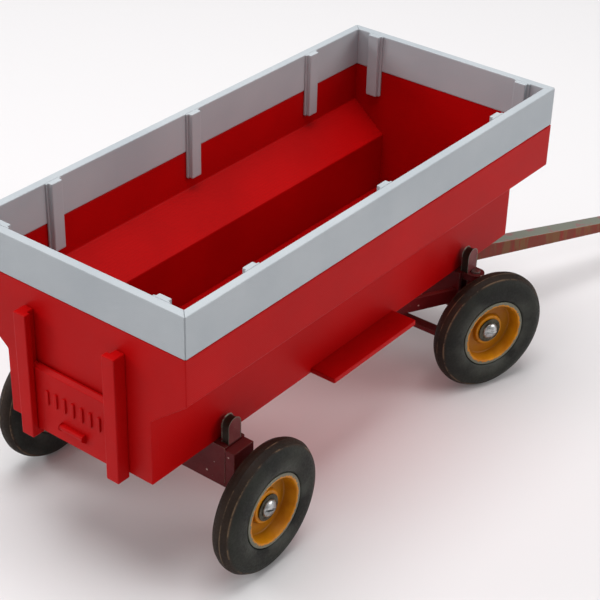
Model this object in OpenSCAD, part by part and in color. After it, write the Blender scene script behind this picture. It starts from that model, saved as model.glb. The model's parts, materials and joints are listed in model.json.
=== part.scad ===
// Toy-scale grain cart: a flared hopper box with a lift-off extension and a
// sliding rear gate, standing on a four-wheel steering running gear.
// Millimetres. +X points forward to the drawbar, +Y to the left, +Z up.

/* [Box] */
// Length of the box over its end walls
box_len = 155; // [120:1:200]
// Width over the upper walls
box_w = 68.7; // [60:0.1:84]
// Thickness of the walls and of the floor
wall = 2.3; // [1.6:0.1:3]
// Width over the lower walls
bin_w = 46.9; // [38:0.1:47.5]
// Height of the lower upright walls
bin_h = 18.4; // [16:0.1:26]
// Height gained by the sloping flare
flare_h = 8.8; // [6:0.1:14]
// Height of the upper upright walls
upper_h = 12.6; // [10:0.1:18]

/* [Extension] */
// Height of the extension boards
board_h = 11.3; // [6:0.1:18]
// Width of a locating strap
strap_w = 3.7; // [2.5:0.1:5]
// Depth of a strap without its pad
strap_d = 1.2; // [0.8:0.1:2]
// Width of the thin pad behind a strap
pad_w = 5; // [3:0.1:7]
// Thickness of that pad
pad_t = 0.5; // [0.3:0.1:0.8]
// Length of strap that hangs into the box
strap_drop = 8; // [4:0.1:9]
// Distance of the end straps from the centreline
end_strap_y = 25.2; // [14:0.1:26]

/* [Rear gate] */
// Width of the gate plate
gate_w = 26.2; // [18:0.1:30]
// Height of the gate plate
gate_h = 18.6; // [12:0.1:19]
// Thickness of the gate plate
gate_t = 1.6; // [1:0.1:2]
// Height of the gate's lower edge above the box's underside
gate_z = 0.8; // [0.2:0.1:2]
// How far the gate can be lifted
gate_travel = 14; // [6:0.5:15]
// Width of the discharge opening behind the gate
port_w = 21; // [12:0.1:22]
// Height of the discharge opening
port_h = 14; // [8:0.1:15]
// Width of a guide post
post_w = 3.9; // [3:0.1:6]
// Depth of a guide post
post_d = 3.9; // [3.6:0.1:6]
// How far the posts reach below the box
post_drop = 1.2; // [0:0.1:4]
// Depth of the groove that holds the gate's edge
groove_d = 1; // [0.6:0.1:1.5]

/* [Side tray] */
// Distance of the tray from the rear of the box
tray_x = 60.3; // [45:0.1:62]
// Length of the tray
tray_len = 36.6; // [15:0.1:40]
// How far the tray stands out
tray_out = 7.7; // [3:0.1:9]
// Thickness of the tray
tray_t = 1.5; // [1:0.1:2.5]

/* [Running gear] */
// Rear axle, from the rear of the box
rear_axle_x = 25.4; // [22:0.1:30]
// Distance of the front axle from the front of the box
front_overhang = 24; // [20:0.1:28]
// Depth of the axles below the box's underside
axle_drop = 15; // [14.5:0.1:18]
// Width of the bolster channels, fore and aft
channel_w = 7.4; // [6.6:0.1:9]
// Height of the bolster channels
channel_h = 12; // [10.5:0.1:12]
// Thickness of the channel plates
plate_t = 1.2; // [0.8:0.1:1.4]
// Distance between the mid-planes of the rear wheels
rear_track = 73.7; // [72:0.1:80]
// Height of a bolster stake
stake_h = 6.8; // [4:0.1:9]
// Width of a stake, fore and aft
stake_w = 4.1; // [3:0.1:4.6]
// Thickness of a stake
stake_t = 2.3; // [1.5:0.1:2.5]
// Gap between a stake and the box
stake_gap = 1.35; // [0.5:0.05:1.4]
// Width and height of the square reach pole
reach_s = 4.4; // [3:0.1:4.6]
// Thickness of a hound bar
hound_t = 1.6; // [1:0.1:2.4]
// Length of the hounds along the cart
hound_len = 42.3; // [30:0.1:50]

/* [Steering] */
// Angle of the drawbar to the right as the cart stands
steer_rest = 20.9; // [0:0.1:30]
// Distance of a kingpin from the centreline
kingpin_y = 28.5; // [28.2:0.1:32]
// Gap between a steering knuckle and its tyre
tyre_gap = 0.35; // [0.15:0.05:1.5]
// Radius of a kingpin
kingpin_r = 1.25; // [0.9:0.05:1.4]
// Length of the steering arms
arm_len = 8; // [7:0.1:10]
// Radius of the centre pin that the drawbar head turns on
center_pin_r = 1.75; // [1.2:0.05:1.9]
// Radius of the rivets in the tie rod
rivet_r = 0.75; // [0.5:0.05:0.9]

/* [Drawbar] */
// Distance from the centre pin to the hitch eye
drawbar_len = 110; // [80:1:115]
// Width of the drawbar
drawbar_w = 4.6; // [3.4:0.1:5]
// Depth of the drawbar at its hinge
drawbar_d = 5.8; // [4:0.1:6]
// Depth of the drawbar at the hitch eye
tip_d = 2.7; // [2:0.1:3.5]
// Downward slope of the drawbar's upper face
pitch = 6.1; // [0:0.1:6.5]
// Distance from the centre pin to the drawbar's hinge
hinge_x = 14; // [12.5:0.1:18]
// Depth of the hinge below the box's underside
hinge_drop = 10.5; // [9:0.1:11]
// Radius of the hinge pin
hinge_pin_r = 1.1; // [0.8:0.05:1.4]
// Radius of the hole in the hitch eye
eye_r = 1.5; // [1:0.1:2]
// Radius of the ring around the hitch eye
eye_ring_r = 3.6; // [3:0.1:4.5]

/* [Wheels] */
// Outer radius of the tyre
tyre_r = 18.1; // [16:0.1:19]
// Width of the tyre
tyre_w = 7; // [6.8:0.1:7.2]
// Radius of the rim's lip
lip_r = 10.1; // [9:0.1:11.5]
// Distance of the rim's lips from the wheel's mid-plane
lip_u = 3.1; // [2.6:0.1:3.2]
// Radius of the hub's outer boss
boss_r = 4.65; // [3.9:0.05:5.5]
// Radius of the wheel screw's shank
shank_r = 1.5; // [1:0.05:1.7]
// Radius of the wheel screw's head
head_r = 2.45; // [2.2:0.05:3]
// Radius of the washer under that head
washer_r = 3.65; // [3:0.05:3.8]

/* [Fits] */
// Radial clearance of a part that turns on a pin
run_fit = 0.05; // [0.02:0.01:0.1]
// Radial clearance of a pin that is pressed or screwed in
hold_fit = 0.02; // [0.01:0.01:0.03]
// Gap at the side of a part that turns or slides
side_fit = 0.15; // [0.1:0.01:0.2]

/* [Hidden] */

$fn = 64;
// A cut runs this far past the solid that it opens
past = 1;

// Box outline
half_w = box_w / 2;
half_bin = bin_w / 2;
bend_z = bin_h + flare_h;
box_h = bend_z + upper_h;
slope = atan2(flare_h, half_w - half_bin);
// Height by which an inner bend sits above its outer bend
mitre = wall * (1 - sin(slope)) / cos(slope);

// Extension; its boards are thicker than the walls so that the straps clear them
board_t = wall + side_fit;
strap_top = box_h + board_h;
strap_low = box_h - strap_drop;

// Gate; its front face stands just off the end wall, and its posts end above its travel
gate_off = 0.2;
gate_back = gate_off + gate_t;
groove_x = gate_back + side_fit;
post_y = gate_w / 2 + side_fit - groove_d;
post_spare = 0.6;
post_top = gate_z + gate_h + gate_travel + post_spare;
rib_count = 7;
rib_w = 1.1;
rib_d = 0.45;
rib_z = [9.5, 13.7];
rib_span = 17;
pull_len = 7.8;
pull_r = 1.25;
pull_z = 5.2;

// Running gear
front_axle_x = box_len - front_overhang;
stake_y = half_bin + stake_gap;
beam_end = stake_y + stake_t;
bracket_t = 3;
bracket_top = 0.6;
reach_top = 5.4;
reach_bottom = reach_top + reach_s;
reach_stop = 1.6;
window_fit = 0.05;
pin_r = 0.9;
hound_past_bin = 0.7;
hound_out = half_bin + hound_past_bin;
hound_x = front_axle_x - channel_w / 2 - hound_len;
hound_angle = atan2(hound_out - reach_s / 2, hound_len);
hound_plate_t = 1;
hound_plate_x = [2, 16];
hound_bolt_x = 3.5;
box_screw_y = 15;
box_screw_r = 0.9;
box_screw_bite = 1.6;
box_screw_head_t = 1.1;
hole_spare = 0.2;
pin_head = 1.8;
nut_t = 1.2;
nut_r = 1.8;
thread_past_nut = 0.4;

// Front end, from the top down; depths are below the box's underside
yoke_w = channel_w - 2 * plate_t;
yoke_r = yoke_w / 2;
yoke_root = 7;
yoke_neck = 1.6;
ear_t = 2.2;
low_ear_t = 1.8;
sleeve_r = yoke_r - 2 * run_fit;
block_y = 4;
kingpin_up = 0.5;
kingpin_head = 0.8;
kingpin_head_t = 1;
spindle_plate_gap = 0.25;
spindle_plate_u = yoke_r + spindle_plate_gap;
spindle_plate_t = 1;
spindle_plate_drop = 1;
spindle_plate_w = 6.6;
arm_t = 1.5;
arm_below_axle = 3.4;
arm_bottom = axle_drop + arm_below_axle;
arm_top = arm_bottom - arm_t;
arm_r = 1.9;
arm_root = [0.6, 1.6];
rod_top = arm_bottom + side_fit;
rod_t = 1.5;
rod_w = 3.2;
rivet_head_r = 1.35;
rivet_head_t = 0.5;
center_head_r = 2.7;
center_head_t = 1.1;
center_head_gap = 0.1;
wheel_offset = spindle_plate_u + spindle_plate_t + tyre_gap + tyre_w / 2;

// Drawbar head and hinge
head_top = channel_h + side_fit;
head_plate_t = 1.85;
head_boss_r = 3.4;
cheek_y = drawbar_w / 2 + side_fit;
cheek_t = 1.6;
cheek_r = 3;
pin_head_t = 0.7;
pin_head_r = 1.8;
cheek_back = 1.5;
head_gap = 0.5;
arm_inset = 0.4;

// Drawbar, in its own frame with the hinge at the origin
eye_z = drawbar_d / 2 - tip_d / 2;
eye_x = (drawbar_len - hinge_x - sin(pitch) * eye_z) / cos(pitch);
eye_tilt = sin(pitch) * cos(steer_rest);

// Wheel, measured outboard from its mid-plane
lip_t = 0.5;
seat_r = lip_r - 1.1;
rim_t = 1.5;
disc_u = [-1.9, -0.6];
boss_u = 0.7;
hub_u = -2.45;
hub_r = 3.2;
hub_gap = hub_u - side_fit;
washer_t = 0.4;
washer_u = boss_u + 0.1;
head_u = washer_u + washer_t;
head_h = 1.3;
slot_w = 0.55;
slot_d = 0.6;
spindle_r = 3.1;
screw_end = 6.6;
screw_spare = 0.4;
edge = 0.2;
boss_draft = 0.15;
// Tyre section: a superellipse around this radius
tyre_low = 0.9;
tyre_mid_r = (tyre_r + lip_r) / 2 - tyre_low;
bead_h = 1.2;
bead_in = 0.1;
tyre_power = 2.5;
tyre_steps = 20;

// Place of the origin: middle of the footprint, on the ground
front_end = front_axle_x + cos(steer_rest) * drawbar_len
    + eye_ring_r * sqrt(1 - eye_tilt * eye_tilt) + tip_d / 2 * eye_tilt;
mid_x = (front_end - post_d) / 2;
deck_z = axle_drop + tyre_r;

box_red = "#b01a1c";
board_grey = "#a9b1b8";
gear_maroon = "#5c2024";
bar_brown = "#783a2c";
rubber_black = "#2c2b29";
wheel_yellow = "#cd8c19";
screw_steel = "#b9bcc0";

// ---- helpers ----

// From the box's own corner to the shared origin
module place() {
    translate([-mid_x, 0, deck_z]) children();
}

// A box given by its low and high corners
module block(low, high) {
    translate(low) cube(high - low);
}

// The same piece on the left (1) or mirrored to the right (-1)
module on_side(side) {
    mirror([0, side < 0 ? 1 : 0, 0]) children();
}

// A profile of [radius, outboard] points turned about the wheel's axis
module turned(points) {
    rotate([-90, 0, 0]) rotate_extrude() polygon(points);
}

// A cylinder along Y between two places
module bar_y(r, from, to) {
    translate([0, from, 0]) rotate([-90, 0, 0]) cylinder(r = r, h = to - from);
}

// A cylinder along Z between two heights
module bar_z(r, from, to) {
    translate([0, 0, from]) cylinder(r = r, h = to - from);
}

// An outline in X and Z given a thickness along Y
module slab_xz(from, to) {
    translate([0, to, 0]) rotate([90, 0, 0]) linear_extrude(to - from) children();
}

// The frame of a rear wheel, Y pointing outboard from its mid-plane
module at_rear(side) {
    place() on_side(side) translate([rear_axle_x, rear_track / 2, -axle_drop]) children();
}

// The frame of a kingpin, Y pointing outboard when the steering is straight
module at_kingpin(side) {
    place() translate([front_axle_x, side * kingpin_y, 0])
        rotate([0, 0, -steer_rest]) on_side(side) children();
}

// The frame of a front wheel
module at_front(side) {
    at_kingpin(side) translate([0, wheel_offset, -axle_drop]) children();
}

// The frame of the centre pin, X pointing along the drawbar
module at_center() {
    place() translate([front_axle_x, 0, 0]) rotate([0, 0, -steer_rest]) children();
}

// ---- box ----

function side_outline() = [
    [half_bin, 0], [half_bin, bin_h], [half_w, bend_z], [half_w, box_h],
    [half_w - wall, box_h], [half_w - wall, bend_z + mitre],
    [half_bin - wall, bin_h + mitre], [half_bin - wall, 0]];

module box_side(side) {
    place() on_side(side) translate([wall, 0, 0]) rotate([90, 0, 90])
        linear_extrude(box_len - 2 * wall) polygon(side_outline());
}

module end_plate(x) {
    translate([x, 0, 0]) rotate([90, 0, 90]) linear_extrude(wall)
        polygon([[half_bin, 0], [half_bin, bin_h], [half_w, bend_z], [half_w, box_h],
            [-half_w, box_h], [-half_w, bend_z], [-half_bin, bin_h], [-half_bin, 0]]);
}

module box_floor() {
    color(box_red) place() difference() {
        block([wall, wall - half_bin, 0], [box_len - wall, half_bin - wall, wall]);
        for (x = [rear_axle_x, front_axle_x], y = [-box_screw_y, box_screw_y])
            translate([x, y, 0]) bar_z(box_screw_r + hold_fit, -past, box_screw_bite + hole_spare);
    }
}

module side_left() {
    color(box_red) box_side(1);
}

module side_right() {
    color(box_red) box_side(-1);
}

module end_front() {
    color(box_red) place() end_plate(box_len - wall);
}

module end_rear() {
    color(box_red) place() difference() {
        end_plate(0);
        block([-past, -port_w / 2, wall], [wall + past, port_w / 2, wall + port_h]);
    }
}

module gate_post(side) {
    color(box_red) place() on_side(side) difference() {
        block([-post_d, post_y, -post_drop], [0, post_y + post_w, post_top]);
        block([-groove_x, post_y - past, gate_z],
            [past, gate_w / 2 + side_fit, post_top + past]);
    }
}

module gate_post_left() {
    gate_post(1);
}

module gate_post_right() {
    gate_post(-1);
}

module slide_gate() {
    color(box_red) place() {
        difference() {
            union() {
                block([-gate_back, -gate_w / 2, gate_z],
                    [-gate_off, gate_w / 2, gate_z + gate_h]);
                for (i = [0 : rib_count - 1])
                    translate([0, rib_span * (i / (rib_count - 1) - 0.5), 0])
                        block([-gate_back - rib_d, -rib_w / 2, rib_z[0]],
                            [-gate_off - gate_t / 2, rib_w / 2, rib_z[1]]);
                translate([-gate_back, 0, pull_z]) bar_y(pull_r, -pull_len / 2, pull_len / 2);
            }
            block([-gate_off, -gate_w, gate_z - past], [past + pull_r, gate_w, gate_h]);
        }
    }
}

module side_tray() {
    color(box_red) place()
        block([tray_x, -half_bin - tray_out, 0], [tray_x + tray_len, -half_bin, tray_t]);
}

// ---- extension ----

module side_board(side) {
    color(board_grey) place() on_side(side) translate([0, 0, box_h]) linear_extrude(board_h)
        polygon([[0, half_w], [box_len, half_w],
            [box_len - board_t, half_w - board_t], [board_t, half_w - board_t]]);
}

module end_board(at, dir) {
    color(board_grey) place() translate([at, 0, box_h]) linear_extrude(board_h)
        polygon([[0, half_w], [dir * board_t, half_w - board_t],
            [dir * board_t, board_t - half_w], [0, -half_w]]);
}

// A strap and its pad on the inner face of a board; X points into the box
module strap() {
    block([0, -pad_w / 2, strap_low], [pad_t, pad_w / 2, strap_top]);
    block([0, -strap_w / 2, strap_low], [pad_t + strap_d, strap_w / 2, strap_top]);
}

module side_strap(side, share) {
    color(board_grey) place() on_side(side)
        translate([box_len * share, half_w - board_t, 0]) rotate([0, 0, -90]) strap();
}

module end_straps(at, turn) {
    color(board_grey) place() for (y = [-end_strap_y, end_strap_y])
        translate([at, y, 0]) rotate([0, 0, turn]) strap();
}

module board_left() {
    side_board(1);
}

module board_right() {
    side_board(-1);
}

module board_front() {
    end_board(box_len, -1);
}

module board_rear() {
    end_board(0, 1);
}

module strap_left_rear() {
    side_strap(1, 1 / 6);
}

module strap_left_middle() {
    side_strap(1, 1 / 2);
}

module strap_left_front() {
    side_strap(1, 5 / 6);
}

module strap_right_rear() {
    side_strap(-1, 1 / 6);
}

module strap_right_middle() {
    side_strap(-1, 1 / 2);
}

module strap_right_front() {
    side_strap(-1, 5 / 6);
}

module straps_front() {
    end_straps(box_len - board_t, 180);
}

module straps_rear() {
    end_straps(board_t, 0);
}

// ---- running gear ----

// An upside-down channel across the cart
module channel(half_len) {
    difference() {
        block([-channel_w / 2, -half_len, -channel_h], [channel_w / 2, half_len, 0]);
        block([-yoke_r, -half_len - past, -channel_h - past],
            [yoke_r, half_len + past, -plate_t]);
    }
}

module box_screw_holes() {
    for (y = [-box_screw_y, box_screw_y])
        translate([0, y, 0]) bar_z(box_screw_r + hold_fit, -plate_t - past, past);
}

// The window that lets the reach pole into a channel's plate
module reach_window(from, to) {
    fit = window_fit;
    block([from, -reach_s / 2 - fit, -reach_bottom - fit],
        [to, reach_s / 2 + fit, -reach_top + fit]);
}

module rear_bolster() {
    color(gear_maroon) place() translate([rear_axle_x, 0, 0]) difference() {
        channel(beam_end);
        box_screw_holes();
        reach_window(0, channel_w);
        bar_z(pin_r + hold_fit, -plate_t - past, past);
    }
}

module yoke(side) {
    on_side(side) {
        for (z = [[-ear_t, 0], [-channel_h, low_ear_t - channel_h]]) {
            block([-yoke_r, beam_end - yoke_root, z[0]], [yoke_r, kingpin_y, z[1]]);
            translate([0, kingpin_y, 0]) bar_z(yoke_r, z[0], z[1]);
        }
    }
}

module front_bolster() {
    color(gear_maroon) place() translate([front_axle_x, 0, 0]) difference() {
        union() {
            channel(beam_end - yoke_neck);
            block([-yoke_r, -block_y, -channel_h], [yoke_r, block_y, 0]);
            yoke(1);
            yoke(-1);
        }
        box_screw_holes();
        reach_window(-channel_w, -yoke_r);
        bar_z(center_pin_r + hold_fit, -channel_h - past, -plate_t);
        for (y = [-kingpin_y, kingpin_y])
            translate([0, y, 0]) bar_z(kingpin_r + hold_fit, -channel_h - past, past);
    }
}

// A flat upright with a round top that keeps the box from sliding sideways
module stake(x, side) {
    color(gear_maroon) place() on_side(side) translate([x, 0, 0]) {
        block([-stake_w / 2, stake_y, 0], [stake_w / 2, beam_end, stake_h - stake_w / 2]);
        translate([0, 0, stake_h - stake_w / 2]) bar_y(stake_w / 2, stake_y, beam_end);
    }
}

module rear_stake_left() {
    stake(rear_axle_x, 1);
}

module rear_stake_right() {
    stake(rear_axle_x, -1);
}

module front_stake_left() {
    stake(front_axle_x, 1);
}

module front_stake_right() {
    stake(front_axle_x, -1);
}

// The upright at the end of the rear bolster that the wheel screw goes into
module rear_bracket(side) {
    inner = beam_end - rear_track / 2;
    color(gear_maroon) at_rear(side) difference() {
        union() {
            block([-channel_w / 2, inner, 0],
                [channel_w / 2, inner + bracket_t, axle_drop - bracket_top]);
            bar_y(channel_w / 2, inner, inner + bracket_t);
            bar_y(spindle_r, inner, hub_gap);
        }
        bar_y(shank_r + hold_fit, hub_gap - screw_end, hub_gap + past);
    }
}

module rear_bracket_left() {
    rear_bracket(1);
}

module rear_bracket_right() {
    rear_bracket(-1);
}

module reach_pole() {
    color(gear_maroon) place() difference() {
        block([rear_axle_x - reach_stop, -reach_s / 2, -reach_bottom],
            [front_axle_x - yoke_r, reach_s / 2, -reach_top]);
        translate([rear_axle_x, 0, 0]) bar_z(pin_r + hold_fit, -reach_bottom - past, 0);
        translate([hound_x + hound_bolt_x, 0, 0])
            bar_z(pin_r + hold_fit, -reach_bottom - past, 0);
    }
}

// The pin that ties the reach pole to the rear bolster, pushed up from below
module reach_pin() {
    color(screw_steel) place() translate([rear_axle_x, 0, 0]) {
        bar_z(pin_r, -reach_bottom, -plate_t / 4);
        bar_z(pin_r * pin_head, -reach_bottom - rivet_head_t, -reach_bottom);
    }
}

module hound(side) {
    thick_x = hound_t / 2 / sin(hound_angle);
    thick_y = hound_t / 2 / cos(hound_angle);
    root_y = reach_s / 2;
    front_x = hound_x + hound_len;
    color(gear_maroon) place() on_side(side) translate([0, 0, -reach_bottom])
        linear_extrude(reach_s)
        polygon([[hound_x - thick_x, root_y], [hound_x + thick_x, root_y],
            [front_x, hound_out - thick_y], [front_x, hound_out + thick_y]]);
}

module hound_left() {
    hound(1);
}

module hound_right() {
    hound(-1);
}

// The flat plate that ties the hounds to the reach pole from below
module hound_plate() {
    wide = [for (x = hound_plate_x) reach_s / 2 + x * tan(hound_angle)];
    color(gear_maroon) place() translate([hound_x, 0, -reach_bottom - hound_plate_t])
        difference() {
            linear_extrude(hound_plate_t)
                polygon([[hound_plate_x[0], wide[0]], [hound_plate_x[1], wide[1]],
                    [hound_plate_x[1], -wide[1]], [hound_plate_x[0], -wide[0]]]);
            translate([hound_bolt_x, 0, 0]) bar_z(pin_r + hold_fit, -past, hound_plate_t + past);
        }
}

// A bolt up through the plate and the pole, with its nut as a second solid
module hound_bolt() {
    low = -reach_bottom - hound_plate_t;
    color(screw_steel) place() translate([hound_x + hound_bolt_x, 0, 0]) {
        bar_z(pin_r, low, -reach_top + nut_t + thread_past_nut);
        translate([0, 0, low - nut_t]) cylinder(r = nut_r, h = nut_t, $fn = 6);
        difference() {
            translate([0, 0, -reach_top]) cylinder(r = nut_r, h = nut_t, $fn = 6);
            bar_z(pin_r + hold_fit, -reach_top - past, -reach_top + nut_t + past);
        }
    }
}

// Screws up through the bolsters into the box's floor
module box_screws() {
    color(screw_steel) place() for (x = [rear_axle_x, front_axle_x],
        y = [-box_screw_y, box_screw_y]) translate([x, y, 0]) {
            bar_z(box_screw_r, -plate_t, box_screw_bite);
            bar_z(box_screw_r * pin_head, -plate_t - box_screw_head_t, -plate_t);
        }
}

// ---- steering ----

module kingpins() {
    color(screw_steel) place() for (y = [-kingpin_y, kingpin_y])
        translate([front_axle_x, y, 0]) {
            bar_z(kingpin_r, -channel_h, kingpin_up);
            bar_z(kingpin_r + kingpin_head, -channel_h - kingpin_head_t, -channel_h);
        }
}

module center_pin() {
    neck = -arm_bottom - center_head_gap;
    color(screw_steel) place() translate([front_axle_x, 0, 0]) {
        bar_z(center_pin_r, neck, -plate_t - hole_spare);
        bar_z(center_head_r, neck - center_head_t, neck);
    }
}

// An arm that points back from a pivot to its rivet; X runs forward
module steering_arm(outline) {
    translate([0, 0, -arm_bottom]) difference() {
        linear_extrude(arm_t) union() {
            polygon(outline);
            translate([-arm_len, 0]) circle(arm_r);
        }
        translate([-arm_len, 0, 0]) bar_z(rivet_r + run_fit, -past, arm_t + past);
    }
}

module knuckle(side) {
    u_in = spindle_plate_u;
    u_out = spindle_plate_u + spindle_plate_t;
    half = spindle_plate_w / 2;
    sleeve = [low_ear_t - channel_h + side_fit, -ear_t - side_fit];
    color(gear_maroon) at_kingpin(side) difference() {
        union() {
            bar_z(sleeve_r, sleeve[0], sleeve[1]);
            block([-half / 2, 0, sleeve[0]], [half / 2, u_out, sleeve[1]]);
            block([-half, u_in, -arm_bottom], [half, u_out, -ear_t - spindle_plate_drop]);
            translate([0, 0, -axle_drop])
                bar_y(spindle_r, u_in, wheel_offset + hub_gap);
            steering_arm([[half, u_out], [half, u_in - arm_root[0]],
                [0, u_in - arm_root[1]], [-arm_len, -arm_r], [-arm_len, arm_r],
                [-half, u_out]]);
        }
        bar_z(kingpin_r + run_fit, sleeve[0] - past, sleeve[1] + past);
        translate([0, 0, -axle_drop])
            bar_y(shank_r + hold_fit, u_in - past, wheel_offset + hub_gap + past);
    }
}

module knuckle_left() {
    knuckle(1);
}

module knuckle_right() {
    knuckle(-1);
}

// The frame of the tie rod: its middle rivet, always square to the cart
module at_rod() {
    place() translate([front_axle_x - arm_len * cos(steer_rest),
        arm_len * sin(steer_rest), 0]) children();
}

module tie_rod() {
    color(gear_maroon) at_rod() difference() {
        union() {
            block([-rod_w / 2, -kingpin_y, -rod_top - rod_t],
                [rod_w / 2, kingpin_y, -rod_top]);
            for (y = [-kingpin_y, kingpin_y])
                translate([0, y, 0]) bar_z(rod_w / 2, -rod_top - rod_t, -rod_top);
        }
        for (y = [-kingpin_y, 0, kingpin_y])
            translate([0, y, 0])
                bar_z(rivet_r + hold_fit, -rod_top - rod_t - past, -rod_top + past);
    }
}

module tie_rod_rivets() {
    color(screw_steel) at_rod() for (y = [-kingpin_y, 0, kingpin_y])
        translate([0, y, 0]) {
            bar_z(rivet_r, -rod_top - rod_t, -arm_top + side_fit);
            bar_z(rivet_head_r, -rod_top - rod_t - rivet_head_t, -rod_top - rod_t);
            bar_z(rivet_head_r, -arm_top + side_fit, -arm_top + side_fit + rivet_head_t);
        }
}

// One cheek of the fork that holds the drawbar's hinge
module cheek() {
    low = -head_top - head_plate_t;
    difference() {
        slab_xz(cheek_y, cheek_y + cheek_t) {
            polygon([[0, low], [hinge_x, low], [hinge_x + cheek_r, -hinge_drop],
                [hinge_x - cheek_r, -hinge_drop], [hinge_x - cheek_r - cheek_back, -head_top],
                [0, -head_top]]);
            translate([hinge_x, -hinge_drop]) circle(cheek_r);
        }
        translate([hinge_x, 0, -hinge_drop])
            bar_y(hinge_pin_r + hold_fit, cheek_y - past, cheek_y + cheek_t + past);
    }
}

module drawbar_head() {
    low = -head_top - head_plate_t;
    front = hinge_x - drawbar_d / 2 - head_gap;
    color(gear_maroon) at_center() difference() {
        union() {
            bar_z(head_boss_r, -arm_bottom, -head_top);
            block([0, -cheek_y - cheek_t, low], [front, cheek_y + cheek_t, -head_top]);
            cheek();
            on_side(-1) cheek();
            steering_arm([[0, head_boss_r - arm_inset], [-arm_len, arm_r],
                [-arm_len, -arm_r], [0, arm_inset - head_boss_r]]);
        }
        bar_z(center_pin_r + run_fit, -arm_bottom - past, -head_top + past);
    }
}

module drawbar_pin() {
    out = cheek_y + cheek_t;
    color(screw_steel) at_center() translate([hinge_x, 0, -hinge_drop]) {
        bar_y(hinge_pin_r, -out - pin_head_t, out);
        bar_y(pin_head_r, out, out + pin_head_t);
    }
}

module drawbar() {
    half = drawbar_w / 2;
    top = drawbar_d / 2;
    color(bar_brown) at_center() translate([hinge_x, 0, -hinge_drop])
        rotate([0, pitch, 0]) difference() {
            union() {
                slab_xz(-half, half) {
                    polygon([[0, -top], [eye_x, top - tip_d], [eye_x, top], [0, top]]);
                    circle(top);
                }
                translate([eye_x, 0, 0]) bar_z(eye_ring_r, top - tip_d, top);
            }
            bar_y(hinge_pin_r + run_fit, -half - past, half + past);
            translate([eye_x, 0, 0]) bar_z(eye_r, top - tip_d - past, top + past);
        }
}

// ---- wheels ----

// Outboard distance of the tyre's skin at a radius, as a share of the superellipse
function skin_r(share) =
    tyre_mid_r + (tyre_r - tyre_mid_r) * pow(1 - pow(abs(share), tyre_power), 1 / tyre_power);

module tyre() {
    half = tyre_w / 2;
    inner_u = lip_u - lip_t;
    crown = [for (i = [-tyre_steps : tyre_steps])
        let (share = sin(90 * i / tyre_steps)) [skin_r(share), half * share]];
    color(rubber_black) turned(concat(
        [[seat_r, -inner_u], [lip_r, -inner_u], [lip_r, -lip_u],
            [lip_r + bead_h, bead_in - half]],
        crown,
        [[lip_r + bead_h, half - bead_in], [lip_r, lip_u],
            [lip_r, inner_u], [seat_r, inner_u]]));
}

module wheel() {
    inner_u = lip_u - lip_t;
    deep_r = seat_r - rim_t;
    color(wheel_yellow) turned([
        [shank_r + run_fit, boss_u], [boss_r - boss_draft, boss_u], [boss_r, disc_u[1]],
        [deep_r, disc_u[1]], [lip_r - rim_t, lip_u - edge], [lip_r - rim_t + edge, lip_u],
        [lip_r, lip_u], [lip_r, inner_u], [seat_r, inner_u],
        [seat_r, -inner_u], [lip_r, -inner_u], [lip_r, -lip_u], [lip_r - rim_t, -lip_u],
        [deep_r, disc_u[0]], [hub_r, disc_u[0]], [hub_r, hub_u], [shank_r + run_fit, hub_u]]);
}

module wheel_washer() {
    color(screw_steel) difference() {
        bar_y(washer_r, washer_u, washer_u + washer_t);
        bar_y(shank_r + hold_fit, washer_u - past, washer_u + washer_t + past);
    }
}

// A round-headed slotted screw whose shank is the wheel's axle
module wheel_screw(end) {
    dome = [for (a = [0 : 10 : 80]) [head_r * cos(a), head_u + head_h * sin(a)]];
    color(screw_steel) difference() {
        turned(concat([[0, end], [shank_r, end], [shank_r, head_u]], dome,
            [[0, head_u + head_h]]));
        block([-slot_w / 2, head_u + head_h - slot_d, -head_r - past],
            [slot_w / 2, head_u + head_h + past, head_r + past]);
    }
}

module tyre_rear_left() {
    at_rear(1) tyre();
}

module tyre_rear_right() {
    at_rear(-1) tyre();
}

module tyre_front_left() {
    at_front(1) tyre();
}

module tyre_front_right() {
    at_front(-1) tyre();
}

module wheel_rear_left() {
    at_rear(1) wheel();
}

module wheel_rear_right() {
    at_rear(-1) wheel();
}

module wheel_front_left() {
    at_front(1) wheel();
}

module wheel_front_right() {
    at_front(-1) wheel();
}

module wheel_screws_rear() {
    for (side = [1, -1]) at_rear(side) wheel_screw(hub_gap - screw_end + screw_spare);
}

module wheel_washers_rear() {
    for (side = [1, -1]) at_rear(side) wheel_washer();
}

module wheel_screw_left() {
    at_front(1) wheel_screw(spindle_plate_u - wheel_offset + side_fit);
}

module wheel_screw_right() {
    at_front(-1) wheel_screw(spindle_plate_u - wheel_offset + side_fit);
}

module wheel_washer_left() {
    at_front(1) wheel_washer();
}

module wheel_washer_right() {
    at_front(-1) wheel_washer();
}

box_floor();
side_left();
side_right();
end_front();
end_rear();
gate_post_left();
gate_post_right();
slide_gate();
side_tray();
board_left();
board_right();
board_front();
board_rear();
strap_left_rear();
strap_left_middle();
strap_left_front();
strap_right_rear();
strap_right_middle();
strap_right_front();
straps_front();
straps_rear();
rear_bolster();
rear_stake_left();
rear_stake_right();
rear_bracket_left();
rear_bracket_right();
front_bolster();
front_stake_left();
front_stake_right();
reach_pole();
reach_pin();
hound_left();
hound_right();
hound_plate();
hound_bolt();
box_screws();
kingpins();
center_pin();
knuckle_left();
knuckle_right();
tie_rod();
tie_rod_rivets();
drawbar_head();
drawbar_pin();
drawbar();
tyre_rear_left();
tyre_rear_right();
tyre_front_left();
tyre_front_right();
wheel_rear_left();
wheel_rear_right();
wheel_front_left();
wheel_front_right();
wheel_screws_rear();
wheel_washers_rear();
wheel_screw_left();
wheel_screw_right();
wheel_washer_left();
wheel_washer_right();
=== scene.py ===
import json
import math

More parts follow.
